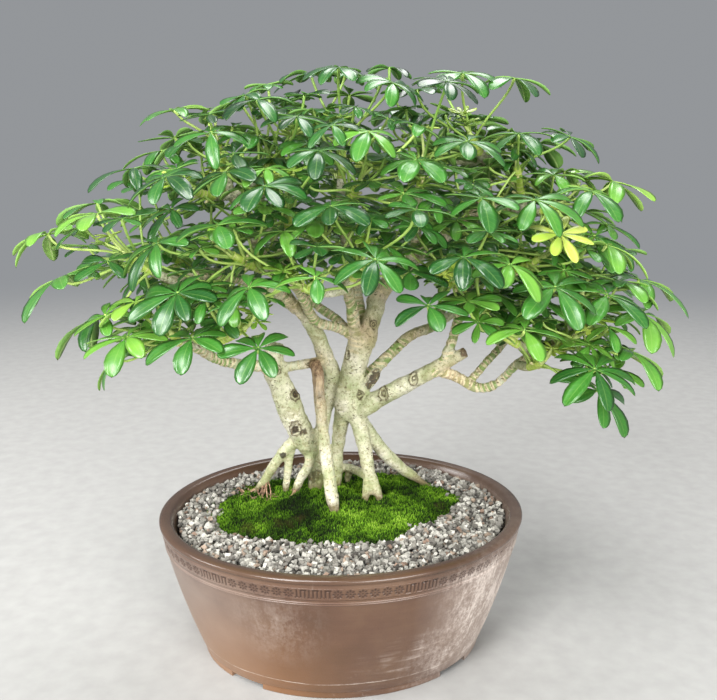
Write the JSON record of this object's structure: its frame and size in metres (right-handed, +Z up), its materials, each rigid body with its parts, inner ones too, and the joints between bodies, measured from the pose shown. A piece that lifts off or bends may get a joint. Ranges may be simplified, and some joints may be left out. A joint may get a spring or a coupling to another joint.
{
  "type": "potted bonsai tree",
  "caption": "Multi-trunk dwarf umbrella tree bonsai with aerial roots and a domed crown of palmate leaves, in an oval brown pot with gravel and moss.",
  "frame": {"origin": "on the table under the middle of the pot", "axes": "+X along the pot's long side, to the right seen from the front; +Y to the back; +Z up"},
  "size_m": [0.4962, 0.3507, 0.4676],
  "materials": {
    "stoneware": "satin",
    "grit": "matte",
    "moss": "matte",
    "growing_mix": "matte",
    "bark": "matte",
    "foliage": "glossy",
    "black_plastic": "matte"
  },
  "bodies": {
    "root": {"pot": "stoneware", "drain_mesh_left": "black_plastic", "drain_mesh_right": "black_plastic", "soil": "growing_mix", "gravel": "grit", "moss": "moss", "tree": "bark", "leafy_shoot_01": "foliage", "leafy_shoot_02": "foliage", "leafy_shoot_03": "foliage", "leafy_shoot_04": "foliage", "leafy_shoot_05": "foliage", "leafy_shoot_06": "foliage", "leafy_shoot_07": "foliage", "leafy_shoot_08": "foliage", "leafy_shoot_09": "foliage", "leafy_shoot_10": "foliage", "leafy_shoot_11": "foliage", "leafy_shoot_12": "foliage", "leafy_shoot_13": "foliage", "leafy_shoot_14": "foliage", "leafy_shoot_15": "foliage", "leafy_shoot_16": "foliage", "leafy_shoot_17": "foliage", "leafy_shoot_18": "foliage", "leafy_shoot_19": "foliage", "leafy_shoot_20": "foliage", "leafy_shoot_21": "foliage", "leafy_shoot_22": "foliage", "leafy_shoot_23": "foliage", "leafy_shoot_24": "foliage", "leafy_shoot_25": "foliage", "leafy_shoot_26": "foliage", "leafy_shoot_27": "foliage", "leafy_shoot_28": "foliage", "leafy_shoot_29": "foliage", "leafy_shoot_30": "foliage", "leafy_shoot_31": "foliage", "leafy_shoot_32": "foliage", "leafy_shoot_33": "foliage", "leafy_shoot_34": "foliage", "leafy_shoot_35": "foliage"}
  },
  "joints": []
}
